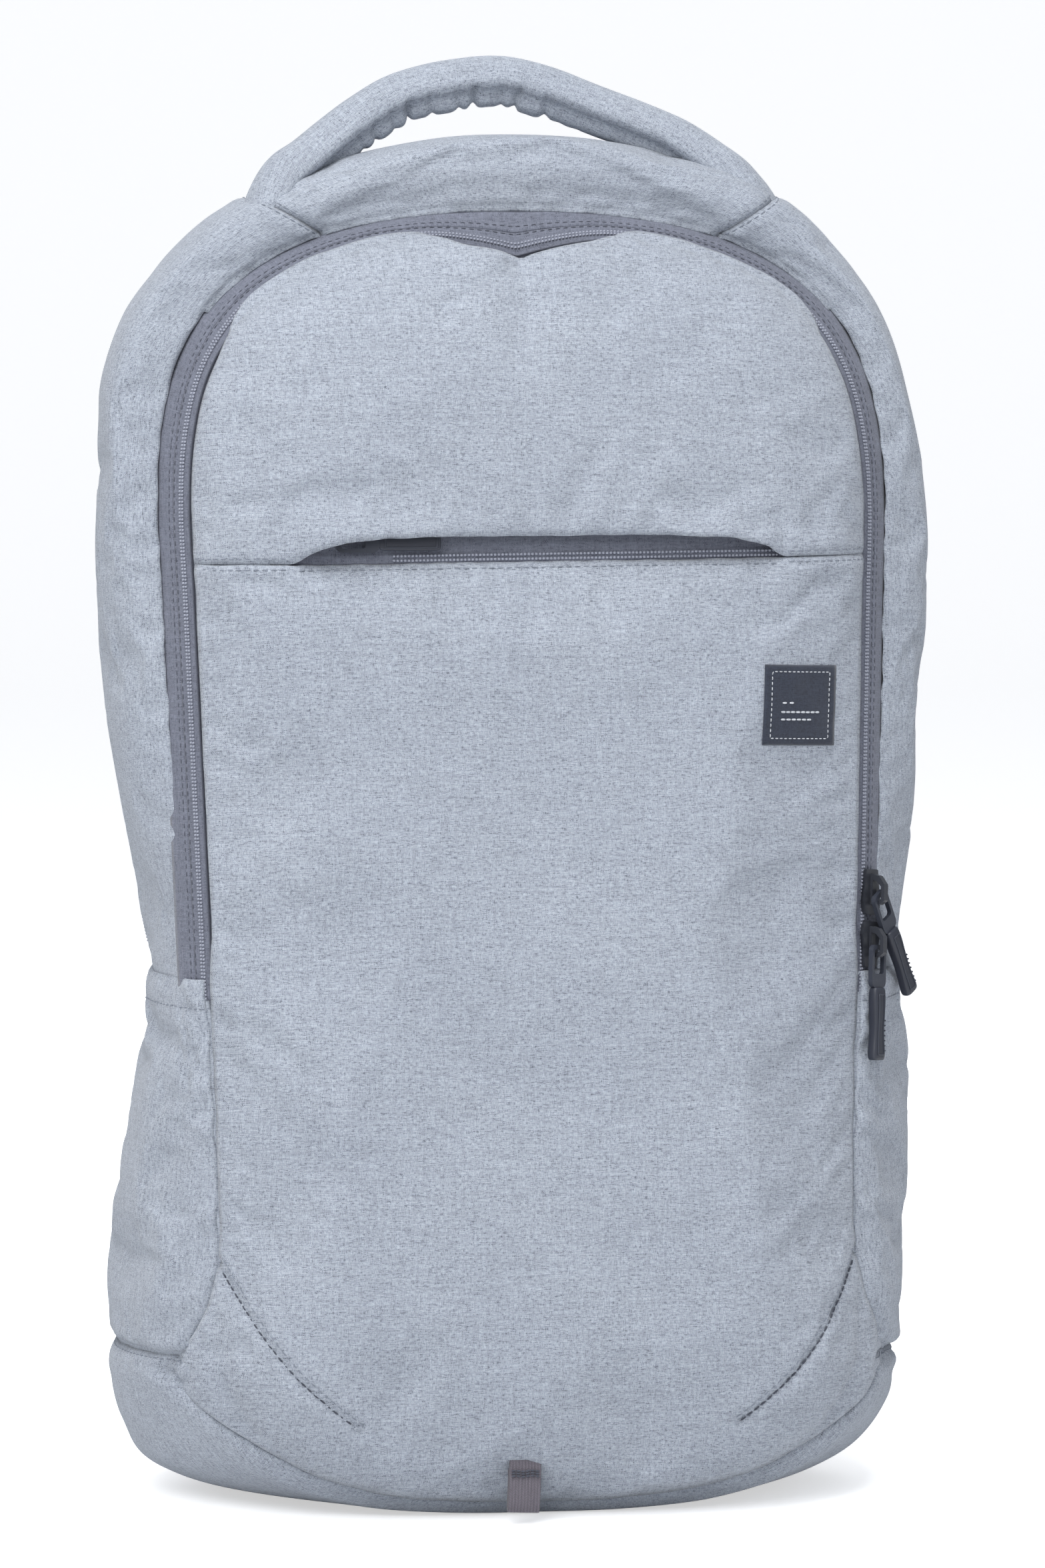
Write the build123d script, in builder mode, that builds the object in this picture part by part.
"""Panel-loading daypack, 290 x 180 x 510 mm, built as separate named pieces.

Frame: +Z up, +X to the bag's right as seen from the front, front face towards -Y.
Origin: on the ground under the middle of the base. Millimetres.

The bag is a ring of gusset fabric between a domed front panel and a padded back.
A U-shaped zip joins front panel and gusset, a second one joins gusset and back.
"""

from build123d import *

import math
import os
from typing import NamedTuple

# ================================================================ driving dimensions
FABRIC = 2.0  # lined shell fabric with seam allowance, as one wall
GAP = 0.1  # clearance between neighbouring pieces
LEAN = 0.10  # the front leans back by this much per mm of height

# edge planes from front to back; the first two lean, and are given at z = 0
Y_FRONT, Y_GUSSET = -62.0, -54.0
Y_MID, Y_REAR_A, Y_REAR_B, Y_BACK = -5.0, 38.0, 50.0, 78.0
Y_BACK_FACE = Y_BACK + 2.5
Y_PAD = Y_BACK_FACE + 0.2  # where the pads and strap wings lie on the back

# the dome of the front panel: how far its two inner rings stand forward and inwards
BULGE_1, BULGE_2 = 13.0, 22.0
DOME_INSET_1, DOME_INSET_2 = 9, 38

Z_BASE_SEAM = 52.0
Z_SIDE_0, Z_SIDE_1 = 180.0, 350.0  # straight stretch of every side edge
Z_ZIP_FRONT = 187.0  # lower ends of the front zip
Z_BOTTLE_TOP = 187.0  # rim of the side pockets
Z_ZIP_REAR = 200.0  # lower ends of the rear zip
Z_HINGE = 232.0  # fold line of the front flap
Z_POCKET = 334.0  # lower lip of the slash pocket
POCKET_HALF, POCKET_OPEN = 86.0, 9.0  # half length and height of its slot

TAPE = 0.8  # zip tape
ZIP_DROP = 0.25  # zip tape below the surface of its strip
COIL_GAP, COIL_HALF_W, COIL_T = 1.45, 2.3, 1.5
COIL_OVERLAP = 0.1  # coil let into the tape

CROWN_Z = 4.75  # height of a pull's hinge above the tape's middle
SLIDER_PITCH = 18.3  # height between the two sliders of a zip
Z_FRONT_SLIDER, Z_REAR_SLIDER = 196.2, 232.2  # the lower slider of each zip
UPPER_YAW = -32.0  # the upper pull leans backwards, past the lower slider

HANDLE_R = 8.5

STRAP_T = 11.0
STRAP_X, STRAP_Y = 60, 117  # middle of the shoulder straps on their upright stretch
STRAP_FACE = STRAP_Y + STRAP_T / 2  # the face towards the wearer
Z_CHEST = 345.0
Y_CHEST = STRAP_FACE + 5.0
WEB_W = 20  # webbing at the foot of the straps

os.makedirs("parts", exist_ok=True)

# ================================================================ edge rings
# Right half of each ring (x >= 0) as (x, z): bottom points from the middle to the
# straight side, then top points from the straight side back to the middle.
RING_FRONT = (
    [
        (0, 6), (30, 6.5), (58, 10), (82, 18), (100, 31),
        (110, 48), (113, 70), (112.3, 100), (112.8, 140), (114.5, 180),
    ],
    [
        (120.5, 350), (119, 374), (114, 395), (104.5, 412), (91, 425.5),
        (74, 435), (55, 441.5), (36, 445), (18, 446.7), (0, 447),
    ],
)
RING_GUSSET = (
    [
        (0, 1), (32, 1.5), (62, 4.5), (88, 12), (107, 25),
        (118.5, 44), (121, 70), (120.3, 100), (120.8, 140), (122.5, 180),
    ],
    [
        (128.5, 350), (127, 376), (121.5, 399), (111, 418), (96, 432),
        (78, 442), (58, 448.5), (38, 452), (19, 453.7), (0, 454),
    ],
)
RING_MID = (
    [
        (0, -1.4), (40, -1.0), (76, 1.5), (102, 9), (120, 22),
        (130.5, 42), (133, 70), (132.6, 100), (132.2, 140), (133.5, 180),
    ],
    [
        (144.0, 350), (143.5, 376), (139, 400), (130, 421), (116, 438.5),
        (97, 453), (74, 464.3), (50, 471.5), (25, 475.5), (0, 477),
    ],
)
RING_REAR_A = (
    [
        (0, -1.0), (38, -0.5), (72, 2.5), (98, 10), (116, 23),
        (125, 43), (127.5, 70), (127, 100), (127.3, 140), (129, 180),
    ],
    [
        (139.5, 350), (139.5, 376), (136, 400), (127.7, 421), (114, 438.5),
        (95.3, 453), (73, 464), (49, 470.8), (25, 474.8), (0, 476),
    ],
)
RING_REAR_B = (
    [
        (0, 0.1), (36, 0.3), (67, 3.2), (92, 11.5), (111, 26),
        (121.5, 46), (124, 72), (123.5, 101), (123.8, 140), (125.5, 180),
    ],
    [
        (136.5, 350), (136.5, 375), (133, 398.5), (124.7, 419), (111, 436.2),
        (93, 450.3), (71, 461), (48, 467.5), (24.5, 471.3), (0, 472.5),
    ],
)
RING_BACK = (
    [
        (0, 0.1), (34, 0.3), (62, 3.4), (85, 12.5), (102, 28),
        (112, 49), (114.5, 75), (114.5, 104), (115, 142), (116.5, 180),
    ],
    [
        (127, 350), (127, 374), (123.5, 396), (115.7, 415.5), (103, 431.2),
        (86, 444), (65.5, 453.8), (44.5, 460), (22.5, 463.7), (0, 465),
    ],
)


def mix(ring_a, ring_b, share):
    """The ring a share of the way from ring_a to ring_b."""
    return tuple(
        [(a[0] + (b[0] - a[0]) * share, a[1] + (b[1] - a[1]) * share) for a, b in zip(*halves)]
        for halves in zip(ring_a, ring_b)
    )


def inset(ring, by):
    """The ring moved inwards by a distance in its own plane (outwards if negative)."""
    bottom, top = ring
    side_line = (top[0][0] - bottom[-1][0], top[0][1] - bottom[-1][1])
    chain = bottom + top
    moved = []
    for i, (x, z) in enumerate(chain):
        if i in (len(bottom) - 1, len(bottom)):
            along_x, along_z = side_line
        elif i == 0:
            along_x, along_z = 1, 0
        elif i == len(chain) - 1:
            along_x, along_z = -1, 0
        else:
            along_x = chain[i + 1][0] - chain[i - 1][0]
            along_z = chain[i + 1][1] - chain[i - 1][1]
        length = math.hypot(along_x, along_z)
        moved.append((x - by * along_z / length, z + by * along_x / length))
    return moved[: len(bottom)], moved[len(bottom) :]


# ================================================================ shared helpers
def upright_plane(y, lean=0.0):
    """Plane through y at the ground, facing forwards, leaning back by lean."""
    return Plane(origin=(0, y, 0), x_dir=(1, 0, 0), z_dir=(0, -1, lean))


def leaning_plane(z, forward):
    """Plane on the leaning front at height z, standing forward of the edge plane."""
    return Plane(
        origin=(0, Y_FRONT - forward + LEAN * z, z), x_dir=(1, 0, 0), z_dir=(0, -1, LEAN)
    )


def ring_face(ring, y, lean=0.0):
    """The area inside a ring, on its plane."""
    stretch = math.hypot(1, lean)
    bottom = [(x, z * stretch) for x, z in ring[0]]
    top = [(x, z * stretch) for x, z in ring[1]]
    up = (top[0][0] - bottom[-1][0], top[0][1] - bottom[-1][1])
    down = (up[0], -up[1])
    with BuildSketch(upright_plane(y, lean)) as face:
        with BuildLine():
            Line(bottom[-1], top[0])
            Spline(top + [(-x, z) for x, z in top[-2::-1]], tangents=(up, down))
            Line((-top[0][0], top[0][1]), (-bottom[-1][0], bottom[-1][1]))
            Spline([(-x, z) for x, z in bottom[::-1]] + bottom[1:], tangents=(down, up))
        make_face()
    return face.sketch


def ring_loft(*stations, mode=Mode.ADD):
    """Ruled loft through rings, each given as (ring, y) or (ring, y, lean)."""
    loft(sections=[ring_face(*station) for station in stations], ruled=True, mode=mode)


def keep_band(low=None, high=None):
    """Keeps what lies between two heights."""
    if low is not None:
        split(bisect_by=Plane(origin=(0, 0, low), z_dir=(0, 0, 1)), keep=Keep.TOP)
    if high is not None:
        split(bisect_by=Plane(origin=(0, 0, high), z_dir=(0, 0, 1)), keep=Keep.BOTTOM)


def keep_side(side):
    """Keeps the right half (side 1) or the left half (side -1)."""
    split(bisect_by=Plane(origin=(0, 0, 0), z_dir=(side, 0, 0)), keep=Keep.TOP)


def save(part, name):
    part.label = name
    export_step(part, f"parts/{name}.step")


def save_profile(name, plane, points, amount):
    """Saves a piece that is one closed outline, extruded."""
    with BuildPart() as piece:
        with BuildSketch(plane):
            with BuildLine():
                Polyline(*points, close=True)
            make_face()
        extrude(amount=amount)
    save(piece.part, name)


# ================================================================ front panels
IN_PLANE = 1.005  # length up the leaning plane per mm of height
ZIP_CUT_W, ZIP_CUT_H, ZIP_CUT_DEPTH = 400, 120, 12
FLAP_GAP = 1.0  # half the gap at the fold line
DOME_CLEAR = 8  # cutting sketches stand this far in front of the dome


def front_dome(depth=0.0, bevel=False, mode=Mode.ADD):
    """The solid domed front, moved under its surface by depth, with or without its bevel."""
    ring = inset(RING_FRONT, depth)
    stations = [
        (ring, Y_FRONT, LEAN),
        (inset(ring, DOME_INSET_1), Y_FRONT - BULGE_1 + depth * 0.5, LEAN),
        (inset(ring, DOME_INSET_2), Y_FRONT - BULGE_2 + depth, LEAN),
    ]
    if bevel:
        stations.insert(0, (inset(RING_GUSSET, depth), Y_GUSSET, LEAN))
    ring_loft(*stations, mode=mode)


def dome_shell(outer=0.0, inner=FABRIC, bevel=False):
    """The domed front between two depths."""
    front_dome(outer, bevel)
    front_dome(inner, bevel, Mode.SUBTRACT)


with BuildPart() as front_panel_lower:
    dome_shell(bevel=True)
    keep_band(high=Z_HINGE - FLAP_GAP)
    # the zip takes the place of the bevel above its lower ends
    with BuildSketch(upright_plane(Y_FRONT, LEAN)):
        with Locations((0, Z_ZIP_FRONT * IN_PLANE + ZIP_CUT_H / 2)):
            Rectangle(ZIP_CUT_W, ZIP_CUT_H)
    extrude(amount=-ZIP_CUT_DEPTH, mode=Mode.SUBTRACT)
save(front_panel_lower.part, "front_panel_lower")

with BuildPart() as front_panel_main:
    dome_shell()
    keep_band(Z_HINGE + FLAP_GAP, Z_POCKET)
save(front_panel_main.part, "front_panel_main")

# the slot of the slash pocket is cut out of the lower edge
SLOT_BELOW = 2  # how far the cut reaches below the panel's edge
with BuildPart() as front_panel_upper:
    dome_shell()
    keep_band(low=Z_POCKET)
    with BuildSketch(leaning_plane(Z_POCKET, BULGE_2 + DOME_CLEAR)):
        with Locations((0, (POCKET_OPEN - SLOT_BELOW) / 2)):
            Rectangle(2 * POCKET_HALF, POCKET_OPEN + SLOT_BELOW)
    extrude(amount=-30, mode=Mode.SUBTRACT)
save(front_panel_upper.part, "front_panel_upper")

# woven badge, blank, sewn on near the flap's right side
BADGE_X, BADGE_Z, BADGE_W, BADGE_H = 92, 281, 27, 28
BADGE_OUTER, BADGE_INNER = -1.1, -0.15  # its faces, as depths under the panel's surface
with BuildPart() as badge_patch:
    dome_shell(BADGE_OUTER, BADGE_INNER)
    with BuildSketch(leaning_plane(BADGE_Z, BULGE_2 + DOME_CLEAR)):
        with Locations((BADGE_X, 0)):
            RectangleRounded(BADGE_W, BADGE_H, 1)
    extrude(amount=-36, mode=Mode.INTERSECT)
save(badge_patch.part, "badge_patch")

# ================================================================ gusset
GUSSET_STATIONS = (
    (RING_GUSSET, Y_GUSSET, LEAN),
    (RING_MID, Y_MID, 0.0),
    (RING_REAR_A, Y_REAR_A, 0.0),
    (RING_REAR_B, Y_REAR_B, 0.0),
)


def gusset_shell(outer, inner):
    """Tube along the gusset; outer and inner hold one inset for each station."""
    for insets, mode in ((outer, Mode.ADD), (inner, Mode.SUBTRACT)):
        stations = [
            (inset(ring, by), y, lean) for (ring, y, lean), by in zip(GUSSET_STATIONS, insets)
        ]
        ring_loft(*stations, mode=mode)


REAR_CUT = 400  # side of the square that clears the rear zip
with BuildPart() as gusset_tube:
    gusset_shell((0, 0, 0, 0), (FABRIC, FABRIC, FABRIC, FABRIC))
    # above its lower ends the rear zip takes the place of the last strip
    with BuildSketch(upright_plane(Y_REAR_A)):
        with Locations((0, Z_ZIP_REAR + REAR_CUT / 2)):
            Rectangle(REAR_CUT, REAR_CUT)
    extrude(amount=-(Y_REAR_B - Y_REAR_A) - 1, mode=Mode.SUBTRACT)

# seams between the top and the two sides
TOP_SEAM_R, TOP_SEAM_L = (
    Plane(origin=(side * 86, 0, 446), z_dir=(side * -0.82, 0.0, 0.57)) for side in (1, -1)
)
with BuildPart() as gusset_top:
    add(gusset_tube.part)
    split(bisect_by=TOP_SEAM_R, keep=Keep.TOP)
    split(bisect_by=TOP_SEAM_L, keep=Keep.TOP)
    keep_band(low=300)
save(gusset_top.part, "gusset_top")

for side, seam, name in ((1, TOP_SEAM_R, "gusset_right"), (-1, TOP_SEAM_L, "gusset_left")):
    with BuildPart() as gusset_side:
        add(gusset_tube.part)
        keep_band(low=Z_BASE_SEAM)
        split(bisect_by=seam, keep=Keep.BOTTOM)
        keep_side(side)
    save(gusset_side.part, name)

# the base panel is cut flat where it rests on the ground
with BuildPart() as base_panel:
    gusset_shell((0, 0, 0, 0), (3.0, 3.6, 3.6, 3.0))
    keep_band(0.0, Z_BASE_SEAM)
save(base_panel.part, "base_panel")

# stretch side pockets, standing off the gusset
for side, word in ((1, "right"), (-1, "left")):
    with BuildPart() as side_pocket:
        gusset_shell((-0.3, -3.6, -3.6, -2.4), (-0.2, -2.4, -2.4, -1.2))
        keep_band(Z_BASE_SEAM + 1, Z_BOTTLE_TOP)
        keep_side(side)
        # front edge stands clear of the bevel seam
        split(
            bisect_by=Plane(origin=(0, Y_GUSSET + 8, 0), z_dir=(0, 1, -LEAN)), keep=Keep.TOP
        )
    save(side_pocket.part, f"side_pocket_{word}")

# ================================================================ rear gusset and back
with BuildPart() as rear_gusset:
    ring_loft((RING_REAR_B, Y_REAR_B + GAP), (RING_BACK, Y_BACK))
    ring_loft(
        (inset(RING_REAR_B, FABRIC), Y_REAR_B + GAP),
        (inset(RING_BACK, FABRIC), Y_BACK),
        mode=Mode.SUBTRACT,
    )
save(rear_gusset.part, "rear_gusset")

with BuildPart() as back_panel:
    ring_loft((RING_BACK, Y_BACK + GAP), (inset(RING_BACK, 1.5), Y_BACK_FACE))
save(back_panel.part, "back_panel")

foam_ring = inset(RING_BACK, 5)
with BuildPart() as back_foam:
    ring_loft((foam_ring, Y_BACK - 8.2), (foam_ring, Y_BACK - 0.2))
save(back_foam.part, "back_foam")

# padded wall between the main space and the laptop space, sewn into the rear zip's seam
divider_ring = inset(RING_REAR_A, 3.9)
with BuildPart() as divider_panel:
    ring_loft((divider_ring, 36.0), (divider_ring, 37.5))
save(divider_panel.part, "divider_panel")


def save_pad(name, x, z, thick, foot, face):
    """Spacer-mesh pad on the wearer's side; foot and face are (width, height, radius)."""
    with BuildPart() as pad:
        for y, outline in ((Y_PAD, foot), (Y_PAD + thick, face)):
            with BuildSketch(upright_plane(y)):
                with Locations((x, z)):
                    RectangleRounded(*outline)
        loft()
    save(pad.part, name)


save_pad("back_pad_right", 52, 262, 8, (62, 250, 24), (52, 240, 20))
save_pad("back_pad_left", -52, 262, 8, (62, 250, 24), (52, 240, 20))
save_pad("lumbar_pad", 0, 88, 9, (168, 76, 26), (156, 64, 22))


# ================================================================ zips
class Strip(NamedTuple):
    """Strip between two edge rings that a zip fills."""

    front_ring: tuple
    front_y: float
    rear_ring: tuple
    rear_y: float
    lean: float
    spread: float  # how far it widens sideways from front to rear, sets its slope
    run_x: float  # sideways size that its width is measured with


FRONT_STRIP = Strip(RING_FRONT, Y_FRONT, RING_GUSSET, Y_GUSSET, LEAN, 8.0, 8.0)
REAR_STRIP = Strip(RING_REAR_A, Y_REAR_A, RING_REAR_B, Y_REAR_B, 0.0, -2.8, 3.0)


def zip_band(strip, start, end, drop, thick, low):
    """Part of a strip, as the solid between two depths under its outer surface.
    start and end are shares of the strip's width, counted from its front edge."""
    span = strip.rear_y - strip.front_y
    slant = math.hypot(strip.spread, span)

    def station(share, depth):
        ring = mix(strip.front_ring, strip.rear_ring, share)
        y = strip.front_y + span * share + depth * strip.spread / slant
        return inset(ring, depth * span / slant), y, strip.lean

    with BuildPart() as band:
        ring_loft(station(start, drop), station(end, drop))
        # the inner solid runs past both edges
        inner = drop + thick
        ring_loft(station(start - 0.35, inner), station(end + 0.4, inner), mode=Mode.SUBTRACT)
        keep_band(low=low)
    return band.part


def save_stringer(name, strip, low, tape, coil):
    """A tape with its half of the coil under it, both as (start, end) shares."""
    coil_drop = ZIP_DROP + TAPE - COIL_OVERLAP
    with BuildPart() as stringer:
        add(zip_band(strip, *tape, ZIP_DROP, TAPE, low))
        add(zip_band(strip, *coil, coil_drop, COIL_T + COIL_OVERLAP, low))
    save(stringer.part, name)


def save_zip(strip, low_front, low_rear, front_name, rear_name):
    """The two stringers of a strip."""
    width = math.hypot(strip.run_x, strip.rear_y - strip.front_y)
    gap = COIL_GAP / width
    coil_end = (COIL_GAP + COIL_HALF_W) / width
    # edges are cut square to the bag, so on the bevel they reach forwards with depth
    reach = 1.0 / width if strip.lean else 0.0
    save_stringer(
        front_name, strip, low_front, tape=(0.0, 0.5 - gap), coil=(0.5 - coil_end, 0.5 - gap)
    )
    coil_start = 0.5 + gap + (COIL_T + COIL_OVERLAP) * reach
    save_stringer(
        rear_name,
        strip,
        low_rear,
        tape=(0.5 + gap + TAPE * reach, 1.0),
        coil=(coil_start, 0.5 + coil_end + TAPE * reach),
    )


save_zip(
    FRONT_STRIP._replace(front_y=Y_FRONT + GAP, rear_y=Y_GUSSET - 0.35),
    Z_HINGE + 1.5,
    Z_ZIP_FRONT + 0.5,
    "front_stringer_flap",
    "front_stringer_gusset",
)
save_zip(
    REAR_STRIP._replace(front_y=Y_REAR_A + GAP, rear_y=Y_REAR_B - GAP),
    Z_ZIP_REAR + 0.5,
    Z_ZIP_REAR + 0.5,
    "rear_stringer_front",
    "rear_stringer_back",
)


# ================================================================ sliders and pulls
def local_plane(frame, origin, x_dir, z_dir):
    """A plane inside a frame, from its local origin and directions."""
    zero = frame.from_local_coords(Vector(0, 0, 0))
    return Plane(
        origin=frame.from_local_coords(Vector(*origin)),
        x_dir=frame.from_local_coords(Vector(*x_dir)) - zero,
        z_dir=frame.from_local_coords(Vector(*z_dir)) - zero,
    )


def zip_frame(strip, z):
    """Slider frame on the right straight stretch of a strip, at height z:
    x up the zip, y forwards across it, z outwards from the tape's middle."""
    share = (z - Z_SIDE_0) / (Z_SIDE_1 - Z_SIDE_0)

    def edge_point(ring, y):
        x_low, x_high = ring[0][-1][0], ring[1][0][0]
        return Vector(x_low + (x_high - x_low) * share, y + strip.lean * z, z)

    def slope(ring):
        rise = Z_SIDE_1 - Z_SIDE_0
        return Vector(ring[1][0][0] - ring[0][-1][0], strip.lean * rise, rise).normalized()

    front = edge_point(strip.front_ring, strip.front_y)
    rear = edge_point(strip.rear_ring, strip.rear_y)
    along = (slope(strip.front_ring) + slope(strip.rear_ring)).normalized()
    out = (rear - front).normalized().cross(along)
    middle = (front + rear) * 0.5 - out * (ZIP_DROP + TAPE / 2)
    return Plane(origin=middle, x_dir=along, z_dir=out)


PLATES = ((-3.6, -2.5), (0.75, 2.0))  # inner and outer face of each slider plate
# one long edge of a plate as (along, across), from the narrow end to the wide end
PLATE_EDGE = ((-8, 3.6), (-2, 4.4), (3.5, 5.3), (7, 4.6), (8, 3.2))


def slider_body(frame, nose=1, lift=0.0):
    """Zip slider. The wide end faces +x, or -x when nose is -1. lift raises the crown."""
    plate_edge = [(along * nose, across) for along, across in PLATE_EDGE]
    with BuildPart() as body:
        for low, high in PLATES:
            with BuildSketch(frame.offset(low)):
                with BuildLine():
                    Polyline(*plate_edge, *[(x, -y) for x, y in plate_edge[::-1]], close=True)
                make_face()
                fillet(vertices(), 0.7)
            extrude(amount=high - low)
        # the diamond joins the two plates at the wide end
        with BuildSketch(frame.offset(-2.6)):
            with Locations((5.6 * nose, 0)):
                RectangleRounded(4.2, 1.8, 0.8)
        extrude(amount=3.5)
        # crown that carries the pull
        with BuildSketch(local_plane(frame, (0, 1.2, 0), (1, 0, 0), (0, -1, 0))):
            with BuildLine():
                Polyline(
                    (-4.6, 1.9), (-4.6, 5.8 + lift), (-3.2, 7.9 + lift),
                    (2.6, 7.9 + lift), (5.6, 5.6 + lift), (6.6, 1.9),
                    close=True,
                )
            make_face()
            fillet(vertices(), 0.6)
            with BuildLine():
                Polyline(
                    (-3.1, 3.0), (-3.1, 5.6 + lift), (-2.4, 6.5 + lift),
                    (1.8, 6.5 + lift), (3.7, 4.6 + lift), (4.0, 3.0),
                    close=True,
                )
            make_face(mode=Mode.SUBTRACT)
        extrude(amount=2.4)
    return body.part


def pull_frame(frame, yaw=0.0, height=CROWN_Z):
    """Frame at the pull's hinge: x along the hanging pull, y across it, z outwards."""
    angle = math.radians(yaw)
    x_dir = (-math.cos(angle), math.sin(angle), 0)
    return local_plane(frame, (-1.2, 0, height), x_dir, (0, 0, 1))


def pull_link(hinge, thick=1.7):
    """Wire-like link: a loop round the crown, then a tongue that the grip is moulded on."""
    with BuildPart() as link:
        with BuildSketch(hinge.offset(-thick / 2)):
            with Locations((6.6, 0)):
                RectangleRounded(15.2, 8.6, 2.4)
            with Locations((4.9, 0)):
                RectangleRounded(8.6, 6.0, 1.2, mode=Mode.SUBTRACT)
        extrude(amount=thick)
    return link.part


def pull_grip(hinge, thick=4.4, width=8.0, length=26.0):
    """Moulded grip with a waist, over the end of the link."""
    start, half = 13.9, width / 2
    # one long edge as (along, across)
    grip_edge = [
        (start, -half + 0.5), (14.6, -half), (20, -half), (24, -half + 0.9),
        (30, -half + 0.7), (12.6 + length, -half), (13.6 + length, -half + 1.2),
    ]
    with BuildPart() as grip:
        with BuildSketch(hinge.offset(-thick / 2)):
            with BuildLine():
                Polyline(*grip_edge, *[(x, -y) for x, y in grip_edge[::-1]], close=True)
            make_face()
        extrude(amount=thick)
        # raised ribs for the fingers
        for rib_x in (18.0, 21.0, 24.0):
            with BuildSketch(hinge.offset(thick / 2 - 0.1)):
                with Locations((rib_x, 0)):
                    RectangleRounded(1.2, width - 3.0, 0.5)
            extrude(amount=0.5)
        # the link's tongue ends in a slot in the grip
        with BuildSketch(hinge.offset(-1.0)):
            with Locations((start, 0)):
                Rectangle(1.0, 9.0)
        extrude(amount=2.0, mode=Mode.SUBTRACT)
    return grip.part


def moulded_pull(hinge):
    """Link and grip in one, with a bridge that fills the grip's slot."""
    with BuildPart() as pull:
        add(pull_link(hinge))
        add(pull_grip(hinge))
        with BuildSketch(hinge.offset(-0.8)):
            with Locations((14.0, 0)):
                Rectangle(2.0, 6.0)
        extrude(amount=1.6)
    return pull.part


for place, strip, z_lower in (
    ("front", FRONT_STRIP, Z_FRONT_SLIDER),
    ("rear", REAR_STRIP, Z_REAR_SLIDER),
):
    for word, z, yaw, nose in (
        ("upper", z_lower + SLIDER_PITCH, UPPER_YAW, -1),
        ("lower", z_lower, 0.0, 1),
    ):
        frame = zip_frame(strip, z)
        hinge = pull_frame(frame, yaw)
        save(slider_body(frame, nose), f"{place}_{word}_slider")
        if place == "front":
            save(pull_link(hinge), f"{place}_{word}_pull_link")
            save(pull_grip(hinge), f"{place}_{word}_pull_grip")
        else:
            save(moulded_pull(hinge), f"{place}_{word}_pull")

# ================================================================ slash pocket
# straight zip behind the slot, and the pouch behind it
POCKET_ZIP_L, POCKET_TAPE_W = 166, 9.2
POCKET_SLIDER_X = -71
POCKET_LIFT = 1.75  # its slider has a taller crown
pocket_face = leaning_plane(Z_POCKET + POCKET_OPEN / 2, BULGE_2 - 5.2)
pocket_frame = Plane(
    origin=pocket_face.origin + Vector(POCKET_SLIDER_X, 0, 0),
    x_dir=(-1, 0, 0),
    z_dir=(0, -1, LEAN),
)
pocket_hinge = pull_frame(pocket_frame, height=CROWN_Z + POCKET_LIFT)
save(slider_body(pocket_frame, lift=POCKET_LIFT), "pocket_slider")
save(pull_link(pocket_hinge, thick=1.6), "pocket_pull_link")
save(pull_grip(pocket_hinge, thick=2.2, width=7.8, length=22.0), "pocket_pull_grip")

for side, word in ((1, "upper"), (-1, "lower")):
    with BuildPart() as pocket_stringer:
        with BuildSketch(pocket_face.offset(-TAPE / 2)):
            with Locations((0, side * (COIL_GAP + POCKET_TAPE_W / 2))):
                Rectangle(POCKET_ZIP_L, POCKET_TAPE_W)
        extrude(amount=TAPE)
        with BuildSketch(pocket_face.offset(-TAPE / 2 - COIL_T)):
            with Locations((0, side * (COIL_GAP + COIL_HALF_W / 2))):
                Rectangle(POCKET_ZIP_L, COIL_HALF_W)
        extrude(amount=COIL_T + COIL_OVERLAP)
    save(pocket_stringer.part, f"pocket_stringer_{word}")

with BuildPart() as pocket_pouch:
    with BuildSketch(pocket_face.offset(-6.4)):
        with Locations((0, -38)):
            RectangleRounded(150, 96, 12)
    extrude(amount=1.6)
save(pocket_pouch.part, "pocket_pouch")

# ================================================================ webbing loop at the foot
# outline as (y, z)
LOOP_OUTLINE = (
    (-75.1, 21.5), (-74.7, 3.2), (-75.6, 2.2), (-76.6, 2.2), (-77.5, 3.2), (-77.7, 21.5),
)
save_profile("light_loop", Plane.YZ.offset(-14.5), LOOP_OUTLINE, 11)

# ================================================================ grab handle
# centre line as (x, y, z)
HANDLE_POINTS = (
    (-90, 20, 470), (-74, 20, 482), (-50, 20, 493), (-20, 20, 500),
    (12, 20, 500), (46, 20, 492), (72, 20, 481.5), (90, 20, 470),
)


def save_handle(name, radius, bore=None):
    """Round bar or tube along the handle's centre line."""
    with BuildPart() as handle:
        with BuildLine() as centre:
            Spline(*HANDLE_POINTS, tangents=((1, 0, 0.9), (1, 0, -0.9)))
        with BuildSketch(Plane(origin=centre.line @ 0, z_dir=centre.line % 0)):
            Circle(radius)
            if bore:
                Circle(bore, mode=Mode.SUBTRACT)
        sweep()
    save(handle.part, name)


save_handle("handle_sleeve", HANDLE_R, bore=5.6)
save_handle("handle_core", 5.4)

# ================================================================ shoulder straps
# stations from top to bottom, right side: x, y, z, width
STRAP_PATH = (
    (48, 87.2, 447, 56), (51, 97, 434, 58), (55, 107, 417, 60), (59, 115, 396, 60),
    (STRAP_X, STRAP_Y, 372, 58), (STRAP_X, STRAP_Y, 300, 54),
    (66, 116, 262, 52), (78, 112, 212, 49), (88, 106.5, 170, 46), (93, 102, 138, 42),
)
STRAP_LAST = len(STRAP_PATH) - 1
STRAP_UPRIGHT = (4, 5)  # stations of the upright stretch
STRAP_END_THIN = 0.62  # share of the thickness left at both ends


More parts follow.
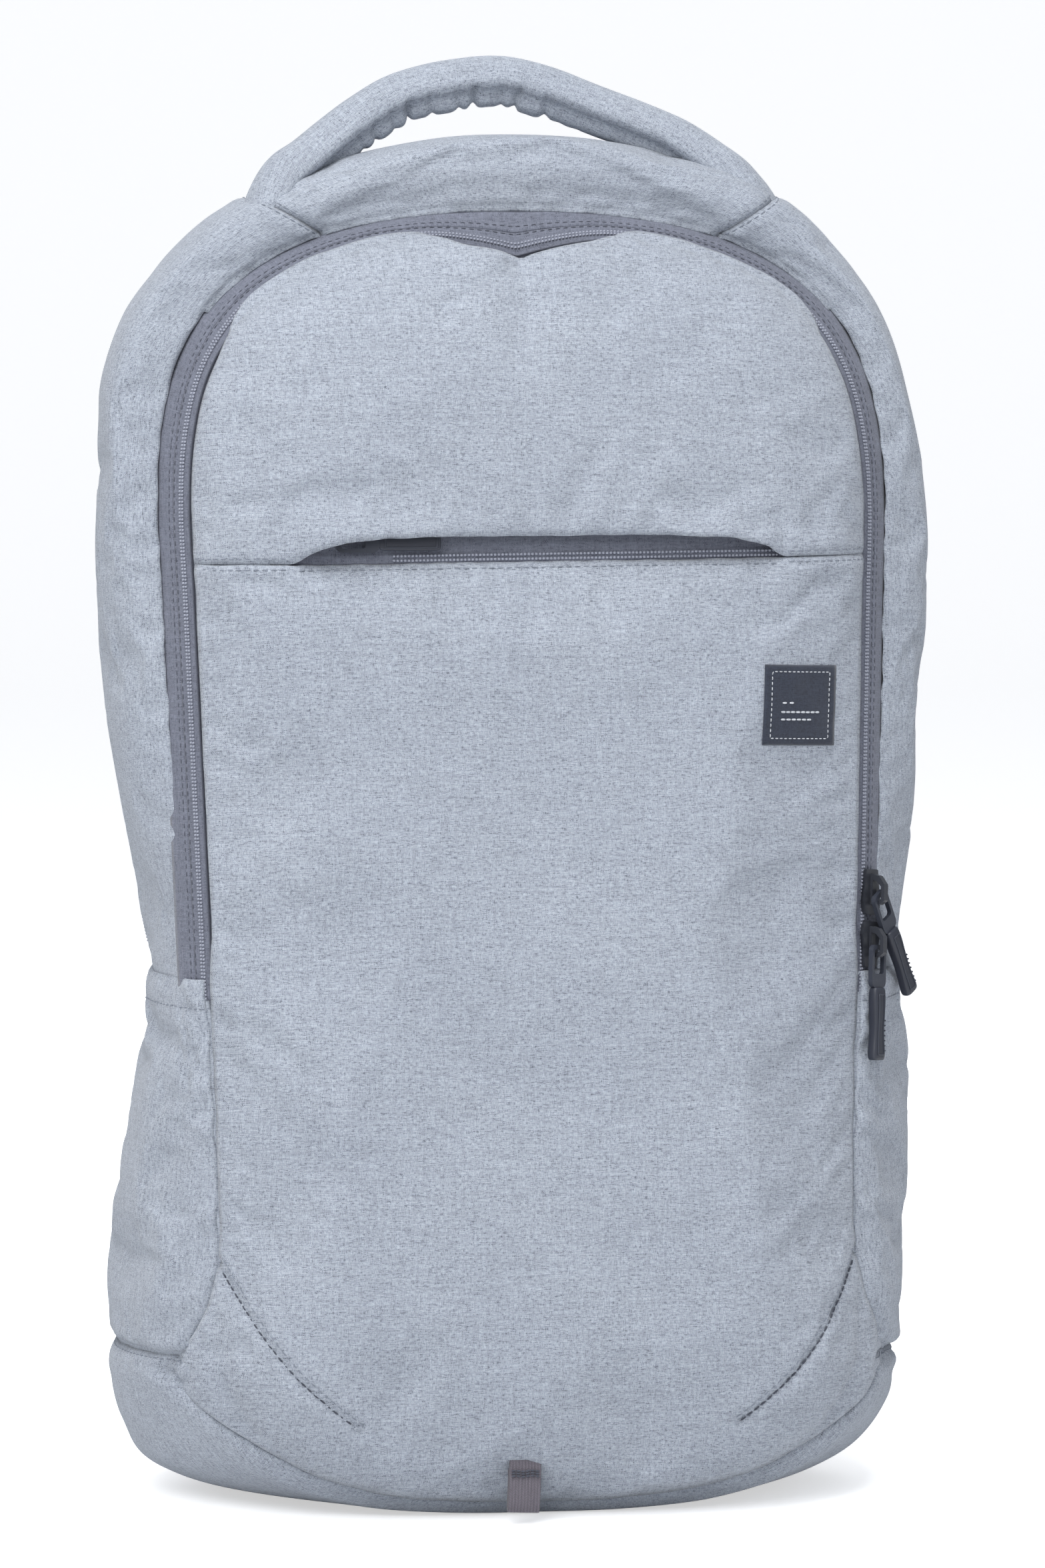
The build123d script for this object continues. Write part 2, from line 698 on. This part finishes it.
def strap_plane(i, side):
    """Section plane of a station, looking down the strap."""
    points = [Vector(side * x, y, z) for x, y, z, _ in STRAP_PATH]
    if i in STRAP_UPRIGHT:
        along = Vector(0, 0, -1)
    else:
        along = points[min(i + 1, STRAP_LAST)] - points[max(i - 1, 0)]
    along = along.normalized()
    # the strap stays square to the back: its width keeps to the X axis
    return Plane(origin=points[i], x_dir=Vector(1, 0, 0) - along * along.X, z_dir=along)


def strap_loft(side, shrink, skip, mode=Mode.ADD):
    """Strap made smaller by shrink all round, leaving out skip stations at each end."""
    sections = []
    for i in range(skip, len(STRAP_PATH) - skip):
        with BuildSketch(strap_plane(i, side)) as section:
            width, thick = STRAP_PATH[i][3] - 2 * shrink, STRAP_T - 2 * shrink
            if i in (0, STRAP_LAST):
                thick *= STRAP_END_THIN
            RectangleRounded(width, thick, thick * 0.42)
        sections.append(section.sketch)
    loft(sections=sections, ruled=True, mode=mode)


def save_strap(side, word):
    with BuildPart() as shell:
        strap_loft(side, shrink=0.0, skip=0)
        strap_loft(side, shrink=2.2, skip=1, mode=Mode.SUBTRACT)
    save(shell.part, f"shoulder_strap_{word}")
    with BuildPart() as foam:
        strap_loft(side, shrink=2.4, skip=1)
        split(bisect_by=Plane(origin=(0, 0, 432), z_dir=(0, 0, 1)), keep=Keep.BOTTOM)
        split(bisect_by=Plane(origin=(0, 0, 172), z_dir=(0, 0, 1)), keep=Keep.TOP)
    save(foam.part, f"strap_foam_{word}")


RAIL_W, RAIL_H, RAIL_FOOT_H = 9, 86, 4
RAIL_Z = Z_CHEST - 5
RAIL_FOOT_Z = (RAIL_H - RAIL_FOOT_H) / 2  # feet above and below the rail's middle


def save_chest_rail(side, word):
    """Webbing rail that the chest strap's clip slides on."""
    with BuildPart() as rail:
        with BuildSketch(Plane.YZ.offset(side * STRAP_X - RAIL_W / 2)):
            with Locations((STRAP_FACE + 3.1, RAIL_Z)):
                Rectangle(1.6, RAIL_H)
            for foot_z in (RAIL_FOOT_Z, -RAIL_FOOT_Z):
                with Locations((STRAP_FACE + 1.3, RAIL_Z + foot_z)):
                    Rectangle(2.2, RAIL_FOOT_H)
        extrude(amount=RAIL_W)
    save(rail.part, f"chest_rail_{word}")


CLIP_H = 18


def save_chest_clip(side, word):
    """Flat moulded loop round the rail, with a bar for the webbing."""
    with BuildPart() as clip:
        with BuildSketch(Plane.XY.offset(Z_CHEST - CLIP_H / 2)):
            with Locations((side * STRAP_X, STRAP_FACE + 3.4)):
                RectangleRounded(16, 6.0, 1.2)
            with Locations((side * STRAP_X, STRAP_FACE + 3.1)):
                Rectangle(10.2, 2.6, mode=Mode.SUBTRACT)
            with Locations((side * 52.5, Y_CHEST)):
                RectangleRounded(3.6, 2.4, 1.0)
        extrude(amount=CLIP_H)
    save(clip.part, f"chest_clip_{word}")


LOCK_T = 4.4


def save_ladder_lock(side, word):
    """Ladder-lock buckle under the strap's end, with a thicker bar at its foot."""
    lock_plane = Plane(origin=(side * 94.6, 99.4, 122.5), x_dir=(-1, 0, 0), z_dir=(0, 1, 0.10))
    with BuildPart() as ladder_lock:
        with BuildSketch(lock_plane.offset(-LOCK_T / 2)):
            RectangleRounded(30, 24, 3)
            with Locations((0, 7.2), (0, 0.6), (0, -6.4)):
                Rectangle(23.2, 3.6, mode=Mode.SUBTRACT)
        extrude(amount=LOCK_T)
        with BuildSketch(lock_plane.offset(-LOCK_T / 2)):
            with Locations((0, -10.6)):
                Rectangle(26, 2.8)
        extrude(amount=7.4)
    save(ladder_lock.part, f"ladder_lock_{word}")


# free end of the adjuster webbing, hanging from the ladder-lock, as (y, z)
TAIL_OUTLINE = (
    (102.2, 120.6), (103.4, 122.2), (107.9, 114.6), (110.0, 96), (111.4, 70),
    (111.0, 46), (109.6, 46), (110.0, 70), (108.6, 95.6), (106.5, 114.0),
)
# lower webbing from the wing up to the ladder-lock, as (y, z)
LOWER_WEB_OUTLINE = (
    (83.9, 44), (85.4, 44), (89.6, 66), (96.9, 105),
    (97.0, 118.0), (95.6, 118.0), (95.4, 105.4), (88.1, 66.4),
)
# wing that anchors the webbing in the side seam, right side, as (x, z)
WING_OUTLINE = (
    (98, 33), (107, 45), (112, 62), (112.6, 82), (106.5, 66), (87.5, 58), (87, 42), (90, 36),
)


def save_strap_foot(side, word):
    """The two pieces of webbing and the wing under a strap."""
    for name, x, outline in (
        ("web_tail", 95.4, TAIL_OUTLINE),
        ("lower_web", 98, LOWER_WEB_OUTLINE),
    ):
        save_profile(f"{name}_{word}", Plane.YZ.offset(side * x - WEB_W / 2), outline, WEB_W)
    wing_outline = [(side * x, z) for x, z in WING_OUTLINE]
    save_profile(f"strap_wing_{word}", upright_plane(Y_PAD), wing_outline, -3)


for side, word in ((1, "right"), (-1, "left")):
    save_strap(side, word)
    save_chest_rail(side, word)
    save_chest_clip(side, word)
    save_ladder_lock(side, word)
    save_strap_foot(side, word)

# ================================================================ chest strap
CHEST_WEB_T, CHEST_WEB_H = 1.4, 15
for word, x, length in (("left", -32.8, 35.2), ("right", 32.2, 36.4)):
    with BuildPart() as chest_web:
        with BuildSketch(upright_plane(Y_CHEST - CHEST_WEB_T / 2)):
            with Locations((x, Z_CHEST)):
                Rectangle(length, CHEST_WEB_H)
        extrude(amount=-CHEST_WEB_T)
    save(chest_web.part, f"chest_web_{word}")

SOCKET_T, PLUG_T = 9, 8
with BuildPart() as buckle_socket:
    with BuildSketch(upright_plane(Y_CHEST - SOCKET_T / 2)):
        with Locations((-3.0, Z_CHEST)):
            RectangleRounded(24, 21, 3)
    extrude(amount=-SOCKET_T)
    # hollow, open towards the plug
    with BuildSketch(Plane.YZ.offset(9.1)):
        with Locations((Y_CHEST - 1.4, Z_CHEST)):
            Rectangle(4.4, 17)
    extrude(amount=-20, mode=Mode.SUBTRACT)
    # windows above and below, where the plug's arms are pressed
    with BuildSketch(upright_plane(Y_CHEST - 3.2)):
        with Locations((1.5, Z_CHEST + 10), (1.5, Z_CHEST - 10)):
            Rectangle(8, 5)
    extrude(amount=-3.6, mode=Mode.SUBTRACT)
save(buckle_socket.part, "buckle_socket")

# upper spring arm as (x, height above the strap's middle)
ARM_OUTLINE = (
    (10.0, 8), (2, 8.2), (-4.5, 6.6), (-8.0, 3.4), (-6.0, 2.6), (-3.5, 4.4), (2, 5.6), (10.0, 5.6),
)
GUIDE_OUTLINE = ((10.0, 1.3), (-7, 1.3), (-7, -1.3), (10.0, -1.3))
with BuildPart() as buckle_plug:
    with BuildSketch(upright_plane(Y_CHEST - PLUG_T / 2)):
        with Locations((18.6, Z_CHEST)):
            RectangleRounded(18.0, 20, 2)
    extrude(amount=-PLUG_T)
    # tunnel that the webbing runs through
    with BuildSketch(Plane.YZ.offset(9.0)):
        with Locations((Y_CHEST, Z_CHEST)):
            Rectangle(2.4, 15.8)
    extrude(amount=20, mode=Mode.SUBTRACT)
    # two spring arms and the middle guide, on the bag's side of the webbing's path
    with BuildSketch(upright_plane(Y_CHEST - 3.45)):
        for outline, flip in ((ARM_OUTLINE, 1), (ARM_OUTLINE, -1), (GUIDE_OUTLINE, 1)):
            with BuildLine():
                Polyline(*[(x, Z_CHEST + flip * up) for x, up in outline], close=True)
            make_face()
    extrude(amount=-2.6)
save(buckle_plug.part, "buckle_plug")
